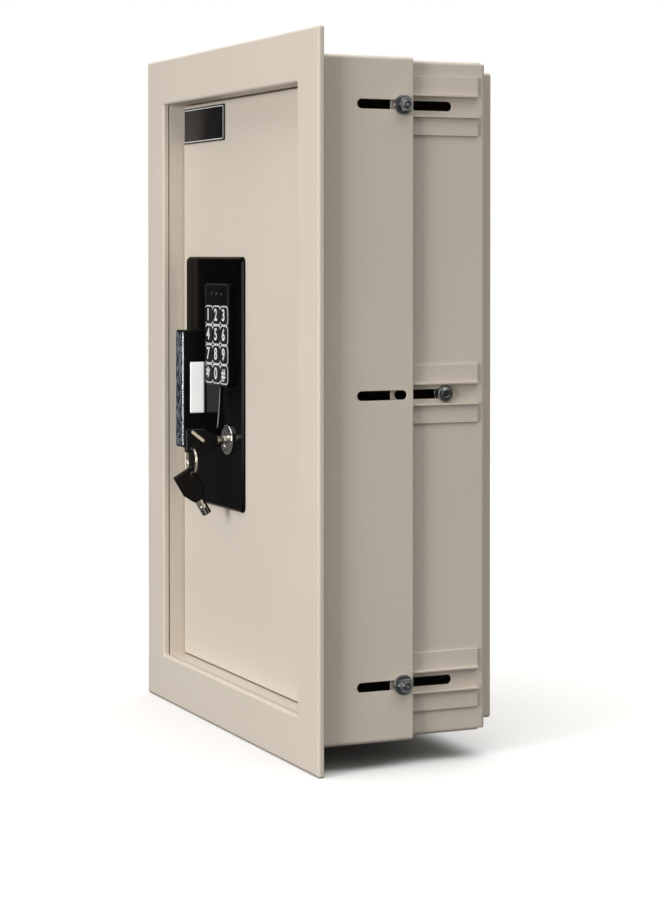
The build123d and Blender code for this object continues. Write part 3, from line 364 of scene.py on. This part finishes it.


# ---------------- Printed figures and outlines on the keypad, and a painted edge highlight ---
FIGURES = {"key_1": "1", "key_2": "2", "key_3": "3", "key_4": "4", "key_5": "5",
           "key_6": "6", "key_7": "7", "key_8": "8", "key_9": "9", "key_star": "*",
           "key_0": "0", "key_hash": "#"}
figure_size, star_size = 0.0138, 0.0200
star_drop = -0.0030         # the star sits high in its font's line
figure_thickness, figure_boldness = 0.00006, 0.00038
figure_gap = 0.00004
key_centres = {}
for name, figure in FIGURES.items():
    low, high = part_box(name)
    key_centres[name] = ((low.x + high.x) / 2, (low.z + high.z) / 2)
    text = bpy.data.curves.new("figure_" + name, "FONT")
    text.body = figure
    text.size = star_size if figure == "*" else figure_size
    text.align_x = "CENTER"
    text.align_y = "CENTER"
    text.extrude = figure_thickness
    text.offset = figure_boldness
    text.resolution_u = 3
    printed = bpy.data.objects.new("figure_" + name, text)
    drop = star_drop if figure == "*" else 0.0
    printed.location = (key_centres[name][0], low.y - figure_gap, key_centres[name][1] + drop)
    printed.rotation_euler = (math.pi / 2, 0, 0)
    collection.objects.link(printed)
    text.materials.append(PRINT)
    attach(printed, name)

housing_low, housing_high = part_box("keypad_housing")
cell_height, cell_radius, overlap = 0.01545, 0.0042, 0.00025
end_inset = 0.0004
row_line, row_line_thickness = 0.0010, 0.00014
pitch = key_centres["key_2"][0] - key_centres["key_1"][0]
for row, names in enumerate((("key_1", "key_2", "key_3"), ("key_4", "key_5", "key_6"),
                             ("key_7", "key_8", "key_9"), ("key_star", "key_0", "key_hash"))):
    z = key_centres[names[0]][1]
    half = cell_height / 2 - cell_radius
    reach = pitch / 2 + overlap - cell_radius
    end_reach = pitch / 2 - end_inset - cell_radius
    meet = math.degrees(math.acos((cell_radius - overlap) / cell_radius))
    points = []
    xs = [key_centres[n][0] for n in names]
    for i in (2, 1, 0):
        if i == 2:
            points += corner((xs[i] + end_reach, z + half), cell_radius, 0, 90)
        else:
            points += corner((xs[i] + reach, z + half), cell_radius, meet, 90)
        if i == 0:
            points += corner((xs[i] - end_reach, z + half), cell_radius, 90, 180)
        else:
            points += corner((xs[i] - reach, z + half), cell_radius, 90, 180 - meet)
    points += [(x, 2 * z - h) for x, h in reversed(points)]
    apart = [p for i, p in enumerate(points)
             if (Vector(p) - Vector(points[i - 1])).length > 1e-5]
    outline_strip(f"row_outline_{row + 1}", apart, housing_low.y - LINE_GAP, row_line,
                  row_line_thickness, PRINT, "door")

middle_x = (housing_low.x + housing_high.x) / 2
middle_z = (housing_low.z + housing_high.z) / 2
housing_margin, housing_radius = 0.0022, 0.0030
housing_line, housing_line_thickness = 0.00035, 0.00010
# A thin grey line just inside the keypad housing's edge: a painted highlight on that edge.
outline_strip("housing_edge_highlight_line",
              round_box((middle_x, middle_z), housing_high.x - housing_low.x - housing_margin,
                        housing_high.z - housing_low.z - housing_margin, housing_radius),
              housing_low.y - LINE_GAP, housing_line, housing_line_thickness, EDGE_HIGHLIGHT_GREY,
              "door")

# Grey strip along the ridge that runs down from the keypad: a painted highlight on its crest.
ridge = [(-0.0515, -0.0015), (-0.0519, -0.0070), (-0.0525, -0.0130), (-0.0535, -0.0190),
         (-0.0547, -0.0250), (-0.0562, -0.0310), (-0.0578, -0.0362)]
ridge_width, ridge_height = 0.0021, 0.0005
width_at_top, width_gained = 0.8, 0.5
ridge_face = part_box("lock_panel")[0].y - 0.0001
bm = bmesh.new()
path = []
for i, (x, z) in enumerate(ridge):
    before, after = ridge[max(0, i - 1)], ridge[min(len(ridge) - 1, i + 1)]
    along = Vector((after[0] - before[0], 0, after[1] - before[1])).normalized()
    side = Vector((-along.z, 0, along.x)) * (width_at_top + width_gained * i / len(ridge))
    path.append((Vector((x, ridge_face, z)), side, OUT_OF_DOOR))
sweep(bm, path, oval(ridge_width, ridge_height, 12))
piece_from(bm, "ridge_highlight_strip", RIDGE_HIGHLIGHT, "door")

# ---------------- Badge border ----------------
low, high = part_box("badge_plate")
badge_margin, badge_radius = 0.0032, 0.0012
badge_line, badge_line_thickness = 0.0008, 0.00016
outline_strip("badge_border",
              round_box(((low.x + high.x) / 2, (low.z + high.z) / 2),
                        high.x - low.x - badge_margin, high.z - low.z - badge_margin,
                        badge_radius),
              low.y - LINE_GAP, badge_line, badge_line_thickness, PRINT, "door")

# ---------------- Handle label and a painted highlight along the handle's edge ---
handle_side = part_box("pull_handle")[1].x
bm = bmesh.new()
rows, columns = 36, 12
label_y, label_z = (-0.0020, 0.0108), (-0.0252, 0.0184)
label_gap, label_wave, label_thickness = 0.00012, 0.00010, 0.00010
curl_height, curl_from_y, curl_from_z = 0.00030, 0.82, 0.85   # the lifted corner
grid = []
for i in range(rows + 1):
    line = []
    for j in range(columns + 1):
        u, v = j / columns, i / rows
        lift = label_gap + label_wave * math.sin(3.1 * v + 1.2 * u) ** 2
        curl = (max(0.0, (u - curl_from_y) / (1 - curl_from_y))
                * max(0.0, (v - curl_from_z) / (1 - curl_from_z)))
        lift += curl_height * curl ** 2
        line.append(bm.verts.new((handle_side + lift,
                                  label_y[0] + (label_y[1] - label_y[0]) * u,
                                  label_z[0] + (label_z[1] - label_z[0]) * v)))
    grid.append(line)
for i in range(rows):
    for j in range(columns):
        bm.faces.new((grid[i][j], grid[i][j + 1], grid[i + 1][j + 1], grid[i + 1][j]))
label = piece_from(bm, "handle_label", PAPER, "door")
thick = label.modifiers.new("paper", "SOLIDIFY")
thick.thickness = label_thickness
thick.offset = -1.0

# A thin zinc bar along the insert's front edge: a painted highlight on that edge.
insert_low, insert_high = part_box("handle_insert")
bm = bmesh.new()
edge_x, edge_y = insert_high.x + 0.0003, insert_low.y + 0.0006
edge_line, edge_chamfer = 0.0007, 0.0002
steps = 30
path = []
for i in range(steps + 1):
    z = insert_low.z + (insert_high.z - insert_low.z) * i / steps
    path.append((Vector((edge_x, edge_y, z)), ACROSS, Vector((0, 1, 0))))
sweep(bm, path, bar_section(edge_line, edge_line, edge_chamfer))
piece_from(bm, "handle_edge_highlight", ZINC, "door", smooth=False)

# ---------------- Split ring ----------------
low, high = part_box("key_ring")
centre = (low + high) / 2
wire = high.y - low.y
mean_radius = (high.z - low.z - wire) / 2
turn_share = 0.94           # of the wire's room, so that the two turns stay apart
turn_height = wire / 2 * turn_share
ring_start = math.radians(35)
crossing_start, crossing_length = 0.47, 0.06
bm = bmesh.new()
path = []
steps = 144
for i in range(steps + 1):
    t = i / steps
    angle = 4 * math.pi * t + ring_start
    step = min(1.0, max(0.0, (t - crossing_start) / crossing_length))
    y = (step * step * (3 - 2 * step) - 0.5) * (wire - turn_height)
    out = Vector((math.sin(angle), 0, math.cos(angle)))
    path.append((centre + out * mean_radius + Vector((0, y, 0)), out, Vector((0, 1, 0))))
sweep(bm, path, bar_section(wire * turn_share, turn_height, turn_height * 0.28))
ring = piece_from(bm, "split_ring", KEY_STEEL, "ring")
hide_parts("key_ring")

# ---------------- Threads on the studs ----------------
# The threads take darker zinc: painted shade in their grooves.
bolt_low, bolt_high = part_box("clamp_bolts")
nut_low, nut_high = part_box("clamp_nuts")
depth_y = (bolt_low.y + bolt_high.y) / 2
nut_radius = (nut_high.y - nut_low.y) / 2
row_z = [nut_low.z + nut_radius, nut_high.z - nut_radius]
turns, steps_per_turn = 1.3, 22
thread_radius, thread_gap, thread_pitch = 0.0027, 0.00015, 0.0010
for side, word in ((1, "right"), (-1, "left")):
    for z, level in zip(row_z, ("lower", "upper")):
        bm = bmesh.new()
        path = []
        steps = int(turns * steps_per_turn)
        for i in range(steps + 1):
            angle = 2 * math.pi * turns * i / steps
            x = side * (nut_high.x + thread_gap + thread_pitch * turns * i / steps)
            out = Vector((0, math.cos(angle), math.sin(angle)))
            path.append((Vector((x, depth_y, z)) + out * thread_radius, out, ACROSS))
        sweep(bm, path, [(-0.0004, -0.00042), (0.0003, -0.00008), (0.0003, 0.00008),
                         (-0.0004, 0.00042)])
        piece_from(bm, f"stud_thread_{level}_{word}", SHADED_ZINC, "clamps")


# ---------------- Faces of the studs, nuts and parked bolts ----------------
def turned(name, centre, side, profile, material, body, sides=48, teeth=0, swell=0.0):
    """A turned face about X: profile is (radius, height outwards), teeth notch its rim."""
    bm = bmesh.new()
    rings = []
    widest = max(r for r, h in profile)
    for r, h in profile:
        ring = []
        for i in range(sides):
            angle = 2 * math.pi * i / sides
            grown = r + (swell * math.cos(teeth * angle) if teeth and r == widest else 0.0)
            ring.append(bm.verts.new(centre + Vector((side * h, grown * math.cos(angle),
                                                      grown * math.sin(angle)))))
        rings.append(ring)
    for first, second in zip(rings, rings[1:]):
        for i in range(sides):
            j = (i + 1) % sides
            bm.faces.new((first[i], first[j], second[j], second[i]))
    bm.faces.new(rings[0])
    bm.faces.new(rings[-1])
    return piece_from(bm, name, material, body)


# The nut serrations and the parked bolts' faces take darker zinc: painted shade in the
# serrations and in the recessed channel.
parked_low, parked_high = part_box("parked_bolts")
parked_centre = (parked_low + parked_high) / 2
sleeve_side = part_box("front_sleeve")[1].x
# The dark metal at the stud ends and the parked bolts' centres is painted shade in their
# hollows.
for side, word in ((1, "right"), (-1, "left")):
    for z, level in zip(row_z, ("lower", "upper")):
        turned(f"stud_end_{level}_{word}", Vector((side * (nut_high.x - 0.0002), depth_y, z)),
               side, [(0.0029, -0.0004), (0.0028, 0.0016), (0.0022, 0.0020),
                      (0.0016, 0.0018), (0.0012, 0.0004)], HOLLOW_SHADE_METAL, "clamps",
               32)
        turned(f"nut_serration_{level}_{word}",
               Vector((side * (sleeve_side + 0.0002), depth_y, z)),
               side, [(0.0066, 0.0001), (0.0074, 0.0003), (0.0075, 0.0012), (0.0070, 0.0017),
                      (0.0060, 0.0019)],
               SHADED_ZINC, "clamps", 96, 24, 0.00035)
    face = Vector((side * parked_high.x, parked_centre.y, parked_centre.z))
    turned(f"parked_face_{word}", face, side,
           [(0.0062, -0.0016), (0.0062, -0.0008), (0.0052, -0.0001), (0.0038, 0.0002),
            (0.0033, 0.0011), (0.0025, 0.0012), (0.0022, 0.0004), (0.0014, 0.0002)],
           SHADED_ZINC, "rear_case", 96, 24, 0.0003)
    turned(f"parked_core_{word}", face, side,
           [(0.0021, 0.0001), (0.0020, 0.0006), (0.0012, 0.0009), (0.0004, 0.0010)],
           HOLLOW_SHADE_METAL, "rear_case", 32)

# ---------------- Lock bezel ----------------
lock_low, lock_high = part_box("lock_cylinder")
lock_x = (lock_low.x + lock_high.x) / 2
lock_z = (lock_low.z + lock_high.z) / 2
bezel_centre = Vector((lock_x, lock_low.y + 0.00022, lock_z))
bezel_radius, bezel_swell, bezel_lobes = 0.0094, 0.00045, 16
bm = bmesh.new()
path = []
steps = 72
for i in range(steps):
    angle = 2 * math.pi * i / steps
    swell = bezel_swell * math.cos(bezel_lobes * angle)
    out = Vector((math.cos(angle), 0, math.sin(angle)))
    path.append((bezel_centre + out * (bezel_radius + swell), out, OUT_OF_DOOR))
sweep(bm, path, oval(0.0022, 0.0009), closed=True)
piece_from(bm, "bezel_ring", CHROME, "door")

# ---------------- Slots, with painted shade in them, and collar on the spare key's barrel ---
low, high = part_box("spare_key")
centre = (low + high) / 2
barrel_radius = (high.x - low.x) / 2
lean = math.radians(59)     # the barrel's slope below the horizontal
along = Vector((0, math.cos(lean), -math.sin(lean)))
across = along.cross(ACROSS)
slot_start, slot_length, slot_steps = 0.0008, 0.0058, 6


def barrel_side(angle):
    return ACROSS * math.cos(angle) + across * math.sin(angle)


# Black strips along the slots: painted shade in the grooves.
for number, turn in enumerate((-52, 0, 52, 128, 180, 232)):
    out = barrel_side(math.radians(turn))
    bm = bmesh.new()
    path = [(centre + along * (slot_start + slot_length * i / slot_steps)
             + out * barrel_radius, along.cross(out), out) for i in range(slot_steps + 1)]
    sweep(bm, path, oval(0.0014, 0.0005, 8))
    piece_from(bm, f"spare_barrel_slot_shade_{number + 1}", HEAD, "spare")
bm = bmesh.new()
path = []
steps, collar_back = 48, 0.0012
for i in range(steps):
    out = barrel_side(2 * math.pi * i / steps)
    path.append((centre - along * collar_back + out * barrel_radius, out, along))
sweep(bm, path, oval(0.0006, 0.0010, 8), closed=True)
piece_from(bm, "spare_barrel_collar", KEY_STEEL, "spare")

# ---------------- Stage, light and camera ----------------
bm = bmesh.new()
floor_reach = 4.0
bmesh.ops.create_grid(bm, x_segments=8, y_segments=8, size=floor_reach)
floor_mesh = bpy.data.meshes.new("floor")
bm.to_mesh(floor_mesh)
bm.free()
floor = bpy.data.objects.new("floor", floor_mesh)
floor.location = (0, 0, FLOOR_Z)
collection.objects.link(floor)
ground = Finish("studio_floor", roughness=0.9)
ground.colour(ground.noise(1.5), [(0.3, (0.86, 0.86, 0.86)), (0.7, (0.88, 0.88, 0.88))])
ground.shader.inputs["Specular IOR Level"].default_value = 0.0
# Seen straight, the floor is pale; to light that bounces off it, it is dim.
dim = ground.add("ShaderNodeBsdfDiffuse", Color=(0.13, 0.13, 0.13, 1.0))
floor_ray = ground.nodes.new("ShaderNodeLightPath")
either = ground.nodes.new("ShaderNodeMixShader")
ground.links.new(floor_ray.outputs["Is Camera Ray"], either.inputs["Fac"])
ground.links.new(dim.outputs["BSDF"], either.inputs[1])
ground.links.new(ground.shader.outputs["BSDF"], either.inputs[2])
ground.links.new(either.outputs["Shader"], ground.nodes["Material Output"].inputs["Surface"])
floor_mesh.materials.append(ground.material)
floor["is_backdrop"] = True

world = bpy.data.worlds.new("studio")
bpy.context.scene.world = world
world.use_nodes = True
tree = world.node_tree
tree.nodes.clear()
# Seen straight, the backdrop is white; as a light it is dim from the left front and
# grows with height.
output = tree.nodes.new("ShaderNodeOutputWorld")
seen = tree.nodes.new("ShaderNodeBackground")
seen.inputs["Color"].default_value = (1.0, 1.0, 1.0, 1.0)
seen.inputs["Strength"].default_value = 1.0
lit = tree.nodes.new("ShaderNodeBackground")
lit.inputs["Strength"].default_value = 0.37
direction = tree.nodes.new("ShaderNodeTexCoord")
toward = tree.nodes.new("ShaderNodeVectorMath")
toward.operation = "DOT_PRODUCT"
toward.inputs[1].default_value = (-0.88, -0.47, 0.0)
shade = tree.nodes.new("ShaderNodeValToRGB")
shade.color_ramp.elements[0].position = 0.45
shade.color_ramp.elements[0].color = (1.0, 0.975, 0.93, 1.0)
shade.color_ramp.elements[1].position = 0.80
shade.color_ramp.elements[1].color = (0.05, 0.05, 0.05, 1.0)
path_kind = tree.nodes.new("ShaderNodeLightPath")
blend = tree.nodes.new("ShaderNodeMixShader")
tree.links.new(direction.outputs["Generated"], toward.inputs[0])
tree.links.new(toward.outputs["Value"], shade.inputs["Fac"])
parts = tree.nodes.new("ShaderNodeSeparateXYZ")
climb = tree.nodes.new("ShaderNodeMapRange")
climb.inputs["From Min"].default_value, climb.inputs["From Max"].default_value = -0.15, 0.85
climb.inputs["To Min"].default_value, climb.inputs["To Max"].default_value = 0.45, 1.6
mixed = tree.nodes.new("ShaderNodeVectorMath")
mixed.operation = "SCALE"
tree.links.new(direction.outputs["Generated"], parts.inputs["Vector"])
tree.links.new(parts.outputs["Z"], climb.inputs["Value"])
tree.links.new(shade.outputs["Color"], mixed.inputs[0])
tree.links.new(climb.outputs["Result"], mixed.inputs["Scale"])
tree.links.new(mixed.outputs["Vector"], lit.inputs["Color"])
tree.links.new(path_kind.outputs["Is Camera Ray"], blend.inputs["Fac"])
tree.links.new(lit.outputs["Background"], blend.inputs[1])
tree.links.new(seen.outputs["Background"], blend.inputs[2])
tree.links.new(blend.outputs["Shader"], output.inputs["Surface"])

key_light = bpy.data.lights.new("front_key", "AREA")
key_light.shape = "RECTANGLE"
key_light.size, key_light.size_y = 0.9, 1.4
key_light.energy = 61.0
key_light.color = (1.0, 0.985, 0.97)
front_key = bpy.data.objects.new("front_key", key_light)
front_key.location = (1.05, -2.5, 0.30)
front_key.rotation_euler = (-front_key.location).to_track_quat("-Z", "Y").to_euler()
collection.objects.link(front_key)
sun = bpy.data.lights.new("overhead", "SUN")
sun.energy = 2.7
sun.angle = math.radians(85)
overhead = bpy.data.objects.new("overhead", sun)
overhead.location = (0, 0, 2)
collection.objects.link(overhead)

camera_data = bpy.data.cameras.new("camera")
camera = bpy.data.objects.new("camera", camera_data)
focal_length, frame_height = 2333.0, 920.0    # in pixels of the 661 x 920 frame
camera_data.sensor_width = 36.0
camera_data.lens = focal_length * camera_data.sensor_width / frame_height
camera_data.shift_y = -0.19
camera_data.clip_start, camera_data.clip_end = 0.05, 50.0
camera.location = (1.7819, -0.7007, 0.1102)
pitch_down = math.radians(0.75)
gaze = Vector((-0.9141 * math.cos(pitch_down), 0.4055 * math.cos(pitch_down),
               -math.sin(pitch_down)))
camera.rotation_euler = gaze.to_track_quat("-Z", "Y").to_euler()
collection.objects.link(camera)
bpy.context.scene.camera = camera
bpy.context.scene.view_settings.view_transform = "Standard"
bpy.context.scene.view_settings.look = "None"

low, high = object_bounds()
